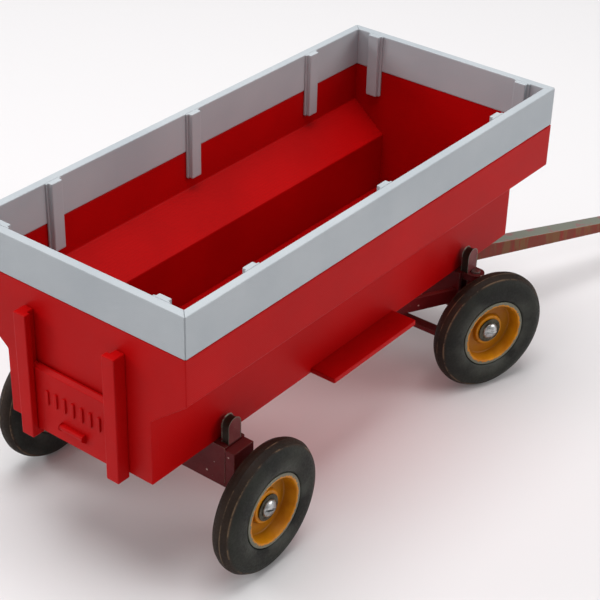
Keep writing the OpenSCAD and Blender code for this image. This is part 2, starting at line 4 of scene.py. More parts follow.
import bmesh
import bpy
import numpy as np
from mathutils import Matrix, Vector

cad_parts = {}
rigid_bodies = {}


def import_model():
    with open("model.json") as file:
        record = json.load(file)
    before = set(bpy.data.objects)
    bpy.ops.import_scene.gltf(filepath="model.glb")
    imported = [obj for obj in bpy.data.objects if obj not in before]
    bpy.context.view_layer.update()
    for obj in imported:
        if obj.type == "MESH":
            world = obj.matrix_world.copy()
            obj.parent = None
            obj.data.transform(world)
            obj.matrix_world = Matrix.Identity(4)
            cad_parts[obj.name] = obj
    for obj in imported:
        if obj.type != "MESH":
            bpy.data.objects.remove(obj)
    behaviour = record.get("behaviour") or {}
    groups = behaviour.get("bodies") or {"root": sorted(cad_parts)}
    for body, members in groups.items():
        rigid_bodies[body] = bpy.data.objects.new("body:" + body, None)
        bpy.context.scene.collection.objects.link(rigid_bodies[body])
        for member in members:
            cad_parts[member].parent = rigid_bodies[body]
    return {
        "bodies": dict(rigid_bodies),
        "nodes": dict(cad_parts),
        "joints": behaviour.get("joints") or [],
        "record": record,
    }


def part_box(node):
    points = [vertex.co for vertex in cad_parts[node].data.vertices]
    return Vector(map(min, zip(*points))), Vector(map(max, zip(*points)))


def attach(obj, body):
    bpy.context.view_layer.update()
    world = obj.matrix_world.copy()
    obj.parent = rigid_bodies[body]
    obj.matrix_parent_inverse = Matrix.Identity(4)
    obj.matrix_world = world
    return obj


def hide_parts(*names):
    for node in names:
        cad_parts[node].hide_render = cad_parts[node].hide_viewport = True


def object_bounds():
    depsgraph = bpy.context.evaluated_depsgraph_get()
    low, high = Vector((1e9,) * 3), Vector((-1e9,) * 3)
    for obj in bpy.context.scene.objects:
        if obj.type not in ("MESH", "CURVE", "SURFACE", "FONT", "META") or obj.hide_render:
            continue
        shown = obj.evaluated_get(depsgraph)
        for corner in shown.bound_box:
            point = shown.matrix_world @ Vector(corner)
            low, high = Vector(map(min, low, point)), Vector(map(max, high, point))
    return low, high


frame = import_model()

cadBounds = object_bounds()  # the CAD model's own box
mm = 0.001
sharpAngle = math.radians(34)  # edges that turn by more than this stay sharp
print("frame loaded:", len(frame["nodes"]), "CAD nodes")

# Each body is an empty, so the parent of a CAD node tells which body it rides on.
bodyNames = {empty.name: body for body, empty in frame["bodies"].items()}
joints = {joint["name"]: joint for joint in frame["joints"]}


def outline(corners, radii, depth=0.0, steps=4):
    # A polygon with each corner turned into an arc. At a left turn the arc is centred
    # max(radius, depth) / cos(half the turn) to the left of the corner, and its radius shrinks by
    # depth. At a right turn it is centred on the right, and its radius grows by depth. So a
    # counter-clockwise polygon moves inwards by depth, and a clockwise one outwards.
    corners = np.array(corners, float)
    radii = np.broadcast_to(np.array(radii, float), len(corners))[:, None]
    ahead = np.roll(corners, -1, 0) - corners
    heading = np.arctan2(ahead[:, 1], ahead[:, 0])
    before = np.roll(heading, 1)
    turn = (heading - before + np.pi) % (2 * np.pi) - np.pi
    middle = before + turn / 2
    leftward = np.stack([-np.sin(middle), np.cos(middle)], -1)
    leftTurn = turn[:, None] >= 0
    reach = np.where(leftTurn, np.maximum(radii, depth), -radii) / np.cos(turn / 2)[:, None]
    angle = before[:, None] + turn[:, None] * np.linspace(0, 1, steps + 1)
    normal = np.stack([np.sin(angle), -np.cos(angle)], -1)
    swing = np.where(leftTurn, np.maximum(radii - depth, 0), -(radii + depth))[..., None]
    return ((corners + leftward * reach)[:, None] + normal * swing).reshape(-1, 2)


def rectangle(low, high):
    # Its corners in a plane, counter-clockwise.
    return [[low[0], low[1]], [high[0], low[1]], [high[0], high[1]], [low[0], high[1]]]


def prism(corners, radii, span, bevels, axes, steps=4):
    # The outline carried from span[0] to span[1] along the third axis. At each end the rings
    # follow a quarter circle: depth = bevel * (1 - sin t), bevel * (1 - cos t) in from the end.
    t = np.linspace(0, np.pi / 2, 4)
    first = np.stack([bevels[0] * (1 - np.sin(t)), span[0] + bevels[0] * (1 - np.cos(t))], -1)
    last = np.stack([bevels[1] * (1 - np.cos(t)), span[1] - bevels[1] * (1 - np.sin(t))], -1)
    rings = [
        np.insert(outline(corners, radii, depth, steps), 2, height, axis=1)
        for depth, height in np.concatenate([first, last])
    ]
    return np.array(rings) @ np.array(axes, float)


def revolved(profile, centre, axle, steps=128):
    # Each [radius, outboard] point of the profile turned about the axle: centre + outboard * axle
    # + radius * (cos a * forward + sin a * up).
    axle = np.array(axle, float)
    up = np.array([0.0, 0.0, 1.0])
    forward = np.cross(axle, up)
    angle = np.linspace(0, 2 * np.pi, steps, endpoint=False)[:, None, None]
    radius, outboard = np.array(profile, float).T[:, None, :, None]
    return centre + outboard * axle + radius * (np.cos(angle) * forward + np.sin(angle) * up)


def smoothed(name, mesh, facets):
    # Puts the mesh in the scene, smooth except at sharp edges. Where it has flat facets, they set
    # the normals, so that a rounded edge doesn't shade the flat beside it.
    mesh.shade_smooth()
    mesh.set_sharp_from_angle(angle=sharpAngle)
    piece = bpy.data.objects.new(name, mesh)
    bpy.context.scene.collection.objects.link(piece)
    if facets:
        weighted = piece.modifiers.new("facets", "WEIGHTED_NORMAL")
        weighted.keep_sharp = True
        weighted.weight = 80
    return piece


def meshOf(name, grids, wrapRows=False, wrapColumns=True, marks=None):
    # Joins grids of points [row, column, xyz] into one closed mesh. Quads join neighbours, rows
    # and columns wrap where asked, and rows that don't wrap get a flat face over each end loop.
    # Each mark is a value for every column or point, kept as a point attribute.
    points, faces, start = [], [], 0
    for grid in grids:
        rows, columns = grid.shape[:2]
        i = np.arange(rows if wrapRows else rows - 1)[:, None]
        j = np.arange(columns if wrapColumns else columns - 1)[None, :]
        nextRow, nextColumn = (i + 1) % rows, (j + 1) % columns
        quads = np.stack(np.broadcast_arrays(
            i * columns + j, i * columns + nextColumn,
            nextRow * columns + nextColumn, nextRow * columns + j), -1)
        faces += (quads.reshape(-1, 4) + start).tolist()
        if not wrapRows:
            loop = np.arange(columns)
            faces += [(loop[::-1] + start).tolist(), (loop + start + (rows - 1) * columns).tolist()]
        points.append(grid.reshape(-1, 3))
        start += rows * columns
    mesh = bpy.data.meshes.new(name)
    mesh.from_pydata(np.concatenate(points), [], faces)
    for mark, values in (marks or {}).items():
        layer = mesh.attributes.new(mark, "FLOAT", "POINT")
        spread = np.concatenate([np.broadcast_to(values, g.shape[:2]).ravel() for g in grids])
        layer.data.foreach_set("value", spread.astype(np.float32))
    work = bmesh.new()
    work.from_mesh(mesh)
    bmesh.ops.remove_doubles(work, verts=work.verts, dist=1e-7)
    if work.calc_volume(signed=True) < 0:
        bmesh.ops.reverse_faces(work, faces=work.faces)
    work.to_mesh(mesh)
    work.free()
    return smoothed(name, mesh, not wrapRows)


def cut(piece, cutter):
    # Takes the cutter's volume out of the piece.
    piece.modifiers.clear()
    boolean = piece.modifiers.new("cut", "BOOLEAN")
    boolean.object = cutter
    boolean.operation = "DIFFERENCE"
    boolean.solver = "EXACT"
    graph = bpy.context.evaluated_depsgraph_get()
    mesh = bpy.data.meshes.new_from_object(piece.evaluated_get(graph))
    name = piece.name
    bpy.data.objects.remove(piece)
    bpy.data.objects.remove(cutter)
    return smoothed(name, mesh, True)


def eased(node, name, width):
    # A merged copy of a CAD solid whose sharp edges get a rounded bevel of this width.
    work = bmesh.new()
    work.from_mesh(frame["nodes"][node].data)
    bmesh.ops.remove_doubles(work, verts=work.verts, dist=1e-6)
    bmesh.ops.dissolve_limit(work, angle_limit=math.radians(1), verts=work.verts, edges=work.edges)
    edges = [e for e in work.edges if e.is_manifold and e.calc_face_angle() > sharpAngle]
    bmesh.ops.bevel(work, geom=edges, offset=width, offset_type="OFFSET", segments=2, profile=0.5,
                    affect="EDGES", clamp_overlap=True)
    mesh = bpy.data.meshes.new(name)
    work.to_mesh(mesh)
    work.free()
    mesh.materials.clear()
    return smoothed(name, mesh, True)


def fit(piece, node, material):
    # Finishes a new piece: its material, the body it rides on and the CAD node it stands for.
    piece.data.materials.append(material)
    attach(piece, bodyNames[frame["nodes"][node].parent.name])
    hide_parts(node)


def sizes(node):
    # A node's lowest and highest corners as arrays.
    low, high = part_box(node)
    return np.array(low), np.array(high)


def extent(node):
    # A node's length, width and height.
    low, high = sizes(node)
    return high - low


def linear(hexColour):
    # sRGB hex to linear light, by the standard curve.
    part = np.array([int(hexColour[i:i + 2], 16) for i in (1, 3, 5)]) / 255
    light = np.where(part <= 0.04045, part / 12.92, ((part + 0.055) / 1.055) ** 2.4)
    return (*light.tolist(), 1.0)


def add(tree, kind, inputs=None, **settings):
    # Adds one shader node. Inputs, by name or place, take a value, a node or one of its sockets.
    node = tree.nodes.new("ShaderNode" + kind)
    for name, value in settings.items():
        setattr(node, name, value)
    for key, value in (inputs or {}).items():
        socket = node.inputs[key] if isinstance(key, int) else next(
            s for s in node.inputs if s.name == key and s.enabled)
        if isinstance(value, bpy.types.Node):
            value = next(s for s in value.outputs if s.enabled)
        if isinstance(value, bpy.types.NodeSocket):
            tree.links.new(value, socket)
        else:
            socket.default_value = value
    return node


def perMetre(size):
    # A noise scale whose patches are about this many millimetres.
    return 1000 / size


def blank(name, specular=0.5, metallic=0.0):
    # A material with only its shader, whose fixed values are set on its own sockets. A specular of
    # 0.5 is a plain dielectric's mirror reflection, and less is duller.
    material = bpy.data.materials.new(name)
    material.use_nodes = True
    tree = material.node_tree
    shader = tree.nodes["Principled BSDF"]
    shader.inputs["Metallic"].default_value = metallic
    shader.inputs["Specular IOR Level"].default_value = specular
    place = add(tree, "TexCoord").outputs["Object"]
    return material, tree, shader, place


def finishOff(tree, shader, look, colour, grain, relief, strength, spread=(0.3, 0.7)):
    # Every finish ends in the same way: its colour, a roughness that follows the grain between the
    # look's two values, and a bump from the relief, which is look["depth"] millimetres high.
    rough = add(tree, "MapRange", {"Value": grain, "From Min": spread[0], "From Max": spread[1],
                                   "To Min": look["roughness"][0], "To Max": look["roughness"][1]})
    bump = add(tree, "Bump", {"Height": relief, "Strength": strength,
                              "Distance": look["depth"] * mm})
    tree.links.new(colour.outputs[2], shader.inputs["Base Color"])
    tree.links.new(rough.outputs[0], shader.inputs["Roughness"])
    tree.links.new(bump.outputs[0], shader.inputs["Normal"])


def edgeMask(tree, radius):
    # 0 on flat ground and 1 at edges, as the dot product of the true normal and the normal rounded
    # over this radius falls.
    rounded = add(tree, "Bevel", {"Radius": radius * mm}, samples=6)
    normal = add(tree, "NewGeometry").outputs["True Normal"]
    dot = add(tree, "VectorMath", {0: rounded, 1: normal}, operation="DOT_PRODUCT").outputs["Value"]
    return add(tree, "MapRange", {"Value": dot, "From Min": 0.985, "From Max": 0.8})


printedRed = {"body": "#ae0406", "deep": "#a20305", "specular": 0.08, "roughness": (0.38, 0.52),
              "patch": 24, "layer": 0.5, "depth": 0.02, "grain": 0.35}
printedGrey = {"body": "#a9aeb2", "deep": "#a0a6ab", "specular": 0.3, "roughness": (0.44, 0.58),
               "patch": 20, "layer": 0.5, "depth": 0.02, "grain": 0.35}


def printedPlastic(name, look):
    # Fused-filament PLA: even colour with a soft sheen, and fine level lines where the layers meet.
    # Real layers are 0.2 mm; they are drawn 0.5 mm apart so that they can be seen.
    material, tree, shader, place = blank(name, look["specular"])
    cloud = add(tree, "TexNoise", {"Vector": place, "Scale": perMetre(look["patch"]),
                                   "Detail": 3.0})
    grain = add(tree, "TexNoise", {"Vector": place, "Scale": perMetre(look["grain"]),
                                   "Detail": 2.0})
    height = add(tree, "SeparateXYZ", {"Vector": place}).outputs["Z"]
    phase = add(tree, "Math", {0: height, 1: 2 * math.pi / (look["layer"] * mm)},
                operation="MULTIPLY")
    layers = add(tree, "Math", {0: phase}, operation="SINE")
    shade = add(tree, "MapRange", {"Value": cloud, "From Min": 0.35, "From Max": 0.65})
    colour = add(tree, "Mix", {0: shade, 6: linear(look["deep"]), 7: linear(look["body"])},
                 data_type="RGBA")
    lines = add(tree, "MapRange", {"Value": layers, "From Min": -1.0, "From Max": -0.4,
                                   "To Min": 0.5, "To Max": 0.0})
    lined = add(tree, "Mix", {0: lines, 6: colour, 7: linear(look["deep"])}, data_type="RGBA")
    relief = add(tree, "Math", {0: layers, 1: grain}, operation="ADD")
    finishOff(tree, shader, look, lined, grain, relief, 0.35)
    return material


gearEnamel = {"body": "#570f13", "faded": "#63181b", "metal": "#6f6f60", "chips": "#b89c92",
              "dust": "#693230", "specular": 0.15, "roughness": (0.32, 0.58), "patch": 7,
              "chip": 0.9, "speck": 2.3, "speckLeast": 0.1, "speckSpread": 0.17,
              "speckSkipped": 0.5, "wear": 0.4, "depth": 0.06}
# The stake's dark brown goes on its narrow sides, as worn paint and painted shade.
stakeEnamel = dict(gearEnamel, body="#6a2c2f", faded="#7c4241", metal="#77776a", darkening="#2c241c")


def wornEnamel(name, look):
    # Old brushed enamel on die-cast metal: a thick glossy film that has dulled, rubbed through to
    # grey metal along the edges and spotted with small pale chips.
    material, tree, shader, place = blank(name, look["specular"])
    cloud = add(tree, "TexNoise", {"Vector": place, "Scale": perMetre(look["patch"]),
                                   "Detail": 4.0})
    grit = add(tree, "TexNoise", {"Vector": place, "Scale": perMetre(look["chip"]), "Detail": 4.0,
                                  "Roughness": 0.6})
    spots = add(tree, "TexVoronoi", {"Vector": place, "Scale": perMetre(look["speck"])})
    facing = add(tree, "SeparateXYZ", {"Vector": add(tree, "TexCoord").outputs["Normal"]})
    up = facing.outputs["Z"]
    patchy = add(tree, "MapRange", {"Value": cloud, "From Min": 0.4, "From Max": 0.62})
    film = add(tree, "Mix", {0: patchy, 6: linear(look["body"]), 7: linear(look["faded"])},
               data_type="RGBA")
    settled = add(tree, "MapRange", {"Value": up, "From Min": 0.2, "From Max": 1.0,
                                     "To Max": 0.45})
    dusty = add(tree, "Mix", {0: settled, 6: film, 7: linear(look["dust"])}, data_type="RGBA")
    random = add(tree, "SeparateXYZ", {"Vector": spots.outputs["Color"]})
    ragged = add(tree, "Math", {0: grit, 1: 0.2, 2: spots.outputs["Distance"]},
                 operation="MULTIPLY_ADD")
    size = add(tree, "Math", {0: random.outputs["X"], 1: look["speckSpread"],
                              2: look["speckLeast"]}, operation="MULTIPLY_ADD")
    inside = add(tree, "Math", {0: size, 1: ragged}, operation="GREATER_THAN")
    some = add(tree, "Math", {0: random.outputs["Y"], 1: look["speckSkipped"]},
               operation="GREATER_THAN")
    specks = add(tree, "Math", {0: inside, 1: some}, operation="MULTIPLY")
    spotted = add(tree, "Mix", {0: specks, 6: dusty, 7: linear(look["chips"])}, data_type="RGBA")
    if "darkening" in look:
        # The narrow sides are painted dark: partly worn paint, and partly painted shade for the
        # shadow that falls on them.
        flat = add(tree, "Math", {0: facing.outputs["Y"]}, operation="ABSOLUTE")
        narrow = add(tree, "MapRange", {"Value": flat, "From Min": 0.75, "From Max": 0.35})
        spotted = add(tree, "Mix", {0: narrow, 6: spotted, 7: linear(look["darkening"])},
                      data_type="RGBA")
    reach = add(tree, "Math", {0: edgeMask(tree, look["wear"]), 1: 0.3, 2: grit},
                operation="MULTIPLY_ADD")
    bare = add(tree, "MapRange", {"Value": reach, "From Min": 0.70, "From Max": 0.76})
    colour = add(tree, "Mix", {0: bare, 6: spotted, 7: linear(look["metal"])}, data_type="RGBA")
    metal = add(tree, "Math", {0: bare, 1: 0.7}, operation="MULTIPLY")
    tree.links.new(metal.outputs[0], shader.inputs["Metallic"])
    lost = add(tree, "Math", {0: bare, 1: specks}, operation="ADD")
    brushed = add(tree, "Math", {0: grit, 1: 0.25}, operation="MULTIPLY")
    relief = add(tree, "Math", {0: brushed, 1: lost}, operation="SUBTRACT")
    finishOff(tree, shader, look, colour, grit, relief, 0.5)
    return material


barEnamel = {"body": "#743020", "red": "#85261b", "olive": "#72492a", "top": "#7b7d72",
             "remnant": "#8d6a68", "metal": "#85867b", "specular": 0.25,
             "roughness": (0.34, 0.62), "patch": 3.2, "streak": 1.1, "wear": 0.5, "depth": 0.06}


def rubbedBar():
    # Drawbar enamel handled for years: brown-red sides with olive patches and upright streaks, and
    # an upper face rubbed down to grey-green metal with pink remnants of paint.
    look = barEnamel
    material, tree, shader, place = blank("rubbedBarEnamel", look["specular"])
    upright = add(tree, "Mapping", {"Vector": place, "Scale": (1.0, 1.0, 0.12)})
    patch = add(tree, "TexNoise", {"Vector": upright, "Scale": perMetre(look["patch"]),
                                   "Detail": 3.0})
    streak = add(tree, "TexNoise", {"Vector": upright, "Scale": perMetre(look["streak"]),
                                    "Detail": 3.0, "Roughness": 0.6})
    red = add(tree, "MapRange", {"Value": streak, "From Min": 0.5, "From Max": 0.66})
    olive = add(tree, "MapRange", {"Value": patch, "From Min": 0.5, "From Max": 0.56})
    side = add(tree, "Mix", {0: red, 6: linear(look["body"]), 7: linear(look["red"])},
               data_type="RGBA")
    side = add(tree, "Mix", {0: olive, 6: side, 7: linear(look["olive"])}, data_type="RGBA")
    pink = add(tree, "MapRange", {"Value": patch, "From Min": 0.55, "From Max": 0.63})
    top = add(tree, "Mix", {0: pink, 6: linear(look["top"]), 7: linear(look["remnant"])},
              data_type="RGBA")
    up = add(tree, "SeparateXYZ", {"Vector": add(tree, "TexCoord").outputs["Normal"]}).outputs["Z"]
    ragged = add(tree, "Math", {0: streak, 1: 0.5, 2: up}, operation="MULTIPLY_ADD")
    above = add(tree, "MapRange", {"Value": ragged, "From Min": 0.75, "From Max": 0.95})
    colour = add(tree, "Mix", {0: above, 6: side, 7: top}, data_type="RGBA")
    reach = add(tree, "Math", {0: edgeMask(tree, look["wear"]), 1: 0.3, 2: streak},
                operation="MULTIPLY_ADD")
    bare = add(tree, "MapRange", {"Value": reach, "From Min": 0.68, "From Max": 0.76})
    colour = add(tree, "Mix", {0: bare, 6: colour, 7: linear(look["metal"])}, data_type="RGBA")
    metal = add(tree, "Math", {0: above, 1: bare}, operation="MAXIMUM")
    metal = add(tree, "Math", {0: metal, 1: 0.45}, operation="MULTIPLY")
    tree.links.new(metal.outputs[0], shader.inputs["Metallic"])
    relief = add(tree, "Math", {0: streak, 1: above}, operation="SUBTRACT")
    finishOff(tree, shader, look, colour, streak, relief, 0.4, (0.0, 1.0))
    return material


tyreRubber = {"wall": "#181815", "dust": "#272822", "rimDust": "#454641", "tread": "#1b110a",
              "treadLight": "#2a1d14", "ridge": "#64503c", "specular": 0.2,
              "roughness": (0.52, 0.75), "patch": 7, "scuff": 0.6, "depth": 0.05, "break": 5}


def agedRubber():
    # Moulded rubber gone hard with age: grey bloom on the smooth walls, a browner tread, and the
    # thin moulding ridges rubbed to tan.
    look = tyreRubber
    material, tree, shader, place = blank("agedTyreRubber", look["specular"])
    cloud = add(tree, "TexNoise", {"Vector": place, "Scale": perMetre(look["patch"]),
                                   "Detail": 4.0})
    scuff = add(tree, "TexNoise", {"Vector": place, "Scale": perMetre(look["scuff"]),
                                   "Detail": 4.0})
    tread = add(tree, "Attribute", attribute_name="tread").outputs["Fac"]
    ridge = add(tree, "Attribute", attribute_name="ridge").outputs["Fac"]
    bloom = add(tree, "MapRange", {"Value": cloud, "From Min": 0.35, "From Max": 0.7})
    wall = add(tree, "Mix", {0: bloom, 6: linear(look["wall"]), 7: linear(look["dust"])},
               data_type="RGBA")
    nearRim = add(tree, "Attribute", attribute_name="nearRim").outputs["Fac"]
    rimDust = add(tree, "Math", {0: nearRim, 1: bloom}, operation="MULTIPLY")
    wall = add(tree, "Mix", {0: rimDust, 6: wall, 7: linear(look["rimDust"])}, data_type="RGBA")
    crown = add(tree, "Mix", {0: bloom, 6: linear(look["tread"]), 7: linear(look["treadLight"])},
                data_type="RGBA")
    colour = add(tree, "Mix", {0: tread, 6: wall, 7: crown}, data_type="RGBA")
    gaps = add(tree, "TexNoise", {"Vector": place, "Scale": perMetre(look["break"]), "Detail": 2.0})
    broken = add(tree, "Math", {0: scuff, 1: 0.4, 2: gaps}, operation="MULTIPLY_ADD")
    broken = add(tree, "MapRange", {"Value": broken, "From Min": 0.66, "From Max": 0.82})
    rubbed = add(tree, "Math", {0: ridge, 1: broken}, operation="MULTIPLY")
    colour = add(tree, "Mix", {0: rubbed, 6: colour, 7: linear(look["ridge"])}, data_type="RGBA")
    finishOff(tree, shader, look, colour, scuff, scuff, 0.3)
    return material


# The dark brown below is painted shade for the corners of the dish.
wheelEnamel = {"body": "#c47f0a", "deep": "#ab6606", "dishShade": "#3f2206", "lip": "#6f6e60",
               "specular": 0.2, "roughness": (0.28, 0.5), "patch": 4, "chip": 0.8, "depth": 0.04}


def yellowEnamel():
    # Yellow enamel sprayed on a die-cast wheel: glossy and slightly uneven, with painted shade
    # darkening the corners of the dish, and rubbed to dull metal on the lip, where a few yellow
    # flakes are left.
    look = wheelEnamel
    material, tree, shader, place = blank("wheelYellowEnamel", look["specular"])
    cloud = add(tree, "TexNoise", {"Vector": place, "Scale": perMetre(look["patch"]),
                                   "Detail": 3.0})
    grit = add(tree, "TexNoise", {"Vector": place, "Scale": perMetre(look["chip"]), "Detail": 4.0})
    lip = add(tree, "Attribute", attribute_name="lip").outputs["Fac"]
    corner = add(tree, "Attribute", attribute_name="dishShade").outputs["Fac"]
    uneven = add(tree, "MapRange", {"Value": cloud, "From Min": 0.35, "From Max": 0.65})
    film = add(tree, "Mix", {0: uneven, 6: linear(look["deep"]), 7: linear(look["body"])},
               data_type="RGBA")
    # Painted shade: the dish's corners are darkened where shadow falls.
    paintedShade = add(tree, "Math", {0: corner, 1: cloud}, operation="MULTIPLY")
    paintedShade = add(tree, "Math", {0: paintedShade, 1: 0.8}, operation="MULTIPLY")
    film = add(tree, "Mix", {0: paintedShade, 6: film, 7: linear(look["dishShade"])}, data_type="RGBA")
    rubbed = add(tree, "Math", {0: lip, 1: 0.75, 2: grit}, operation="MULTIPLY_ADD")
    bare = add(tree, "MapRange", {"Value": rubbed, "From Min": 0.86, "From Max": 0.94})
    colour = add(tree, "Mix", {0: bare, 6: film, 7: linear(look["lip"])}, data_type="RGBA")
    metal = add(tree, "Math", {0: bare, 1: 0.6}, operation="MULTIPLY")
    tree.links.new(metal.outputs[0], shader.inputs["Metallic"])
    relief = add(tree, "Math", {0: grit, 1: bare}, operation="SUBTRACT")
    finishOff(tree, shader, look, colour, grit, relief, 0.4)
    return material


bareMetals = {
    "platedScrewSteel": {"light": "#bdbebe", "dark": "#8b8c8b", "roughness": (0.24, 0.42),
                         "darkening": 1.6, "scratch": 0.25, "depth": 0.02},
    "dullPinSteel": {"light": "#a3a39e", "dark": "#77756e", "roughness": (0.3, 0.5),
                     "darkening": 1.6, "scratch": 0.4, "depth": 0.02},
    "darkWasherSteel": {"light": "#5c594e", "dark": "#3b3930", "roughness": (0.4, 0.62),
                        "darkening": 1.6, "scratch": 0.5, "depth": 0.02},
}


def bareMetal(name):
    # Turned or pressed steel, zinc plated or gone dull: a metal whose fine scratches and tarnish
    # break its reflections up.
    look = bareMetals[name]
    material, tree, shader, place = blank(name, metallic=1.0)
    cloud = add(tree, "TexNoise", {"Vector": place, "Scale": perMetre(look["darkening"]),
                                   "Detail": 4.0})
    scratch = add(tree, "TexNoise", {"Vector": place, "Scale": perMetre(look["scratch"]),
                                     "Detail": 3.0})
    darkening = add(tree, "MapRange", {"Value": cloud, "From Min": 0.35, "From Max": 0.65})
    colour = add(tree, "Mix", {0: darkening, 6: linear(look["dark"]), 7: linear(look["light"])},
                 data_type="RGBA")
    finishOff(tree, shader, look, colour, scratch, scratch, 0.25)
    return material


redPlastic = printedPlastic("redPrintedPlastic", printedRed)
greyPlastic = printedPlastic("greyPrintedPlastic", printedGrey)
maroonEnamel = wornEnamel("maroonGearEnamel", gearEnamel)
fadedEnamel = wornEnamel("fadedStakeEnamel", stakeEnamel)
drawbarEnamel = rubbedBar()
rubber = agedRubber()
yellow = yellowEnamel()
screwSteel, pinSteel, washerSteel = [bareMetal(name) for name in bareMetals]
print("finishes mixed")


alongX = [[0, 1, 0], [0, 0, 1], [1, 0, 0]]  # outline in Y and Z, carried along X
alongY = [[1, 0, 0], [0, 0, 1], [0, 1, 0]]  # outline in X and Z, carried along Y
alongZ = [[1, 0, 0], [0, 1, 0], [0, 0, 1]]  # outline in X and Y, carried along Z
hopper = {"binHeight": 18.4 * mm, "flareHeight": 8.8 * mm, "edge": 0.3 * mm, "topEdge": 0.55 * mm,
          "bend": 0.8 * mm, "seam": 0.02 * mm}
discharge = {"width": 21 * mm, "height": 14 * mm, "corner": 0.4 * mm}


def hopperBox():
    # Two bent side walls between two end plates. The edges where they meet stay sharp, so that the
    # joints don't show, and all the others are rounded.
    look = hopper
    low, high = sizes("side_left")
    floorTop = sizes("box_floor")[1]
    frontLow, frontHigh = sizes("end_front")
    wall = frontHigh[0] - frontLow[0]
    outerBin, outerTop = floorTop[1] + wall, high[1]
    binTop, top = low[2] + look["binHeight"], high[2]
    flareTop = binTop + look["flareHeight"]
    slope = math.atan2(look["flareHeight"], outerTop - outerBin)
    mitre = wall * (1 - math.sin(slope)) / math.cos(slope)
    section = np.array([
        [outerBin - wall, low[2]], [outerBin, low[2]], [outerBin, binTop], [outerTop, flareTop],
        [outerTop, top], [outerTop - wall, top], [outerTop - wall, flareTop + mitre],
        [outerBin - wall, binTop + mitre]])
    edge, seam = look["edge"], look["seam"]
    bends = [look["bend"], look["bend"]]
    radii = [seam, edge, *bends, look["topEdge"], edge, *bends]
    span = (low[0], high[0])
    left = meshOf("sideWallLeft", [prism(section, radii, span, (seam, seam), alongX)])
    fit(left, "side_left", redPlastic)
    mirrored = section[::-1] * [-1, 1]
    right = meshOf("sideWallRight", [prism(mirrored, radii[::-1], span, (seam, seam), alongX)])
    fit(right, "side_right", redPlastic)
    half = section[1:5]
    plate = np.concatenate([half, half[::-1] * [-1, 1]])
    plateRadii = [edge, *bends, edge]
    plateRadii += plateRadii[::-1]
    rearLow, rearHigh = sizes("end_rear")
    front = prism(plate, plateRadii, (frontLow[0], frontHigh[0]), (seam, edge), alongX)
    rear = prism(plate, plateRadii, (rearLow[0], rearHigh[0]), (edge, seam), alongX)
    fit(meshOf("endWallFront", [front]), "end_front", redPlastic)
    rearWall = meshOf("endWallRear", [rear])
    halfPort, spare = discharge["width"] / 2, 1 * mm
    opening = rectangle((-halfPort, floorTop[2]), (halfPort, floorTop[2] + discharge["height"]))
    through = prism(opening, discharge["corner"], (rearLow[0] - spare, rearHigh[0] + spare),
                    (seam, seam), alongX)
    fit(cut(rearWall, meshOf("cutter", [through])), "end_rear", redPlastic)


hopperBox()

tray = {"edge": 0.25 * mm, "corner": 0.5 * mm, "atWall": 0.02 * mm}
low, high = sizes("side_tray")
radii = [tray["corner"], tray["corner"], tray["atWall"], tray["atWall"]]
grid = prism(rectangle(low, high), radii, (low[2], high[2]), (tray["edge"], tray["edge"]), alongZ)
fit(meshOf("sideTray", [grid]), "side_tray", redPlastic)

boxCopies = {
    "gate_post_left": ("gatePostLeft", 0.3), "gate_post_right": ("gatePostRight", 0.3),
    "box_floor": ("boxFloor", 0.03),
}
for node, (name, width) in boxCopies.items():
    fit(eased(node, name, width * mm), node, redPlastic)

gate = {"thickness": 1.6 * mm, "chamfer": 0.9 * mm, "edge": 0.2 * mm, "ribs": 7, "ribSpan": 17 * mm,
        "ribWidth": 1.1 * mm, "ribProud": 0.45 * mm, "ribLow": 8.7 * mm, "ribHigh": 12.9 * mm,
        "pullWidth": 7.8 * mm, "pullHeight": 4.4 * mm, "pullEdge": 0.3 * mm,
        "pullCorners": (0.5 * mm, 0.4 * mm, 0.05 * mm, 0.05 * mm)}


def slidingGate():
    # A plate with a sloping top edge, a row of plain upright ribs and a half-round pull. The plate
    # and the pull are drawn clockwise, so their ends are wider than their middles by the edge.
    look = gate
    low, high = sizes("slide_gate")
    back, face = high[0], high[0] - look["thickness"]
    slope = look["chamfer"]
    section = [[face, low[2]], [face, high[2] - slope], [face + slope, high[2]], [back, high[2]],
               [back, low[2]]]
    edge = look["edge"]
    radii = [edge, edge * 2, edge, edge, edge]
    plate = prism(section, radii, (low[1], high[1]), (edge, edge), alongY)
    fit(meshOf("gatePlate", [plate]), "slide_gate", redPlastic)
    ribs, half = [], look["ribWidth"] / 2
    for middle in np.linspace(-0.5, 0.5, look["ribs"]) * look["ribSpan"]:
        corners = rectangle((middle - half, low[2] + look["ribLow"]),
                            (middle + half, low[2] + look["ribHigh"]))
        ribs.append(prism(corners, half * 0.8, (face - look["ribProud"], face + look["ribProud"]),
                          (edge, edge), alongX))
    fit(meshOf("gateRibs", ribs), "slide_gate", redPlastic)
    proud = face - low[0]
    centre = low[2] + look["pullHeight"]
    corners = [[low[0], centre - proud * 0.1], [low[0], centre + proud * 0.7],
               [face + edge, centre + proud * 0.7], [face + edge, centre - proud]]
    pull = prism(corners, look["pullCorners"], (-look["pullWidth"] / 2, look["pullWidth"] / 2),
                 (look["pullEdge"], look["pullEdge"]), alongY)
    fit(meshOf("gatePull", [pull]), "slide_gate", redPlastic)


slidingGate()
print("hopper box, tray and gate made")


boards = {"topEdge": 0.3 * mm, "lowEdge": 0.4 * mm, "mitreEdge": 0.16 * mm, "innerEdge": 0.02 * mm}


